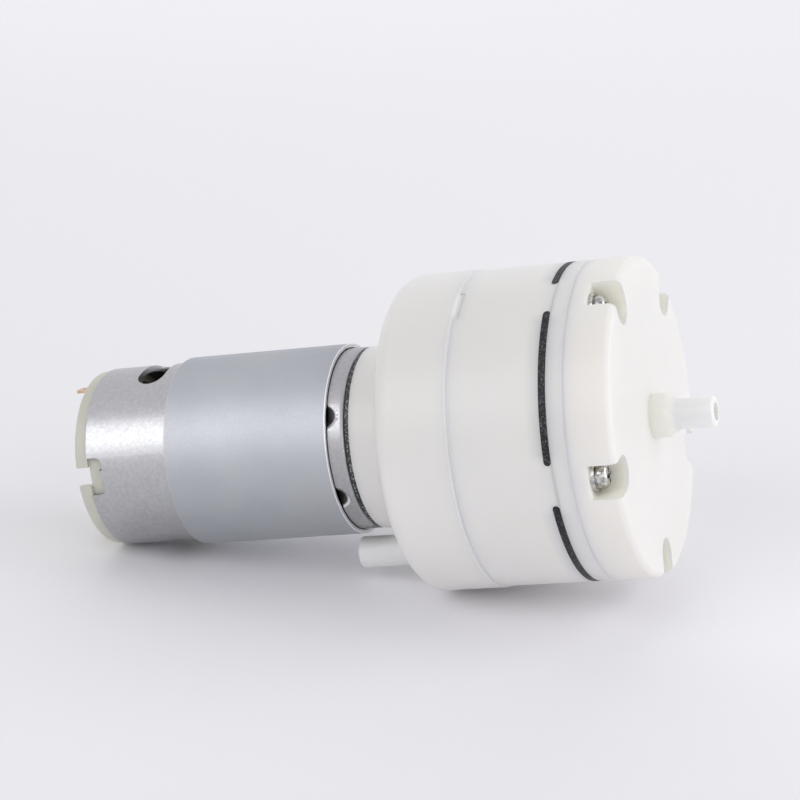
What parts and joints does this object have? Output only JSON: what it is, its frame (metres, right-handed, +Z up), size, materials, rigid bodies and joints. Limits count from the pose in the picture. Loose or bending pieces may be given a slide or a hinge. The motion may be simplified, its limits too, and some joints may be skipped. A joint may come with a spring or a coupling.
{
  "type": "micro vacuum pump",
  "caption": "Small diaphragm vacuum pump: round white pump head with front and rear hose ports on a cylindrical DC motor, wobble-plate drive inside.",
  "frame": {"origin": "on the shaft axis, in the middle of the motor's flux ring, where a clamp holds the pump", "axes": "+X along the shaft and out through the front port, +Z up, rear port at the bottom (-Z side)"},
  "size_m": [0.1311, 0.0618, 0.0619],
  "materials": {
    "zinc_steel": "bright zinc, fine grain",
    "flux_steel": "satin blue-grey zinc",
    "spring_steel": "satin",
    "screw_steel": "polished nickel",
    "ground_steel": "ground",
    "core_steel": "grey varnish",
    "black_steel": "black oxide",
    "ferrite": "matt ferrite",
    "cap_plastic": "moulded grey-green",
    "hub_plastic": "moulded brown",
    "drive_nylon": "moulded cream nylon",
    "white_nylon": "milky moulded nylon",
    "brass": "satin",
    "copper": "bare copper",
    "bronze": "sintered bronze",
    "carbon": "pressed carbon",
    "black_gasket": "matt with fine speckle",
    "black_rubber": "smooth matt rubber"
  },
  "bodies": {
    "root": {"motor_can": "zinc_steel", "flux_ring": "flux_steel", "magnets": "ferrite", "magnet_clips": "spring_steel", "end_cap": "cap_plastic", "terminals": "brass", "brush_arms": "copper", "carbon_brushes": "carbon", "front_bush": "bronze", "rear_bush": "bronze", "motor_gasket": "black_gasket", "motor_screws": "screw_steel", "crankcase": "white_nylon", "chamber_body": "white_nylon", "diaphragm_flange": "black_rubber", "cup_walls": "black_rubber", "valve_plate": "white_nylon", "inlet_valves": "black_rubber", "outlet_valve": "black_rubber", "inner_seal": "black_rubber", "outer_seal": "black_rubber", "head_cover": "white_nylon", "screw_washers": "screw_steel", "head_screws": "screw_steel"},
    "rotor": {"shaft": "ground_steel", "armature_core": "core_steel", "windings": "copper", "commutator_hub": "hub_plastic", "commutator_bars": "copper", "shaft_spacers": "hub_plastic", "eccentric": "ground_steel", "grub_screw": "black_steel", "drive_pin": "ground_steel"},
    "wobble": {"wobble_plate": "drive_nylon", "pin_bush": "bronze", "diaphragm_pistons": "black_rubber"}
  },
  "joints": [
    {"name": "rotor_spin", "type": "hinge", "parent": "root", "child": "rotor", "pos_m": [0, 0, 0], "axis": [1, 0, 0], "continuous": true},
    {"name": "wobble_turn", "type": "hinge", "parent": "rotor", "child": "wobble", "pos_m": [0.054, 0, 0], "axis": [0.9945, 0, -0.1045], "continuous": true, "deforming": ["cup_walls"]}
  ],
  "couplings": [
    {"joint": "wobble_turn", "follows": "rotor_spin", "ratio": -1}
  ]
}
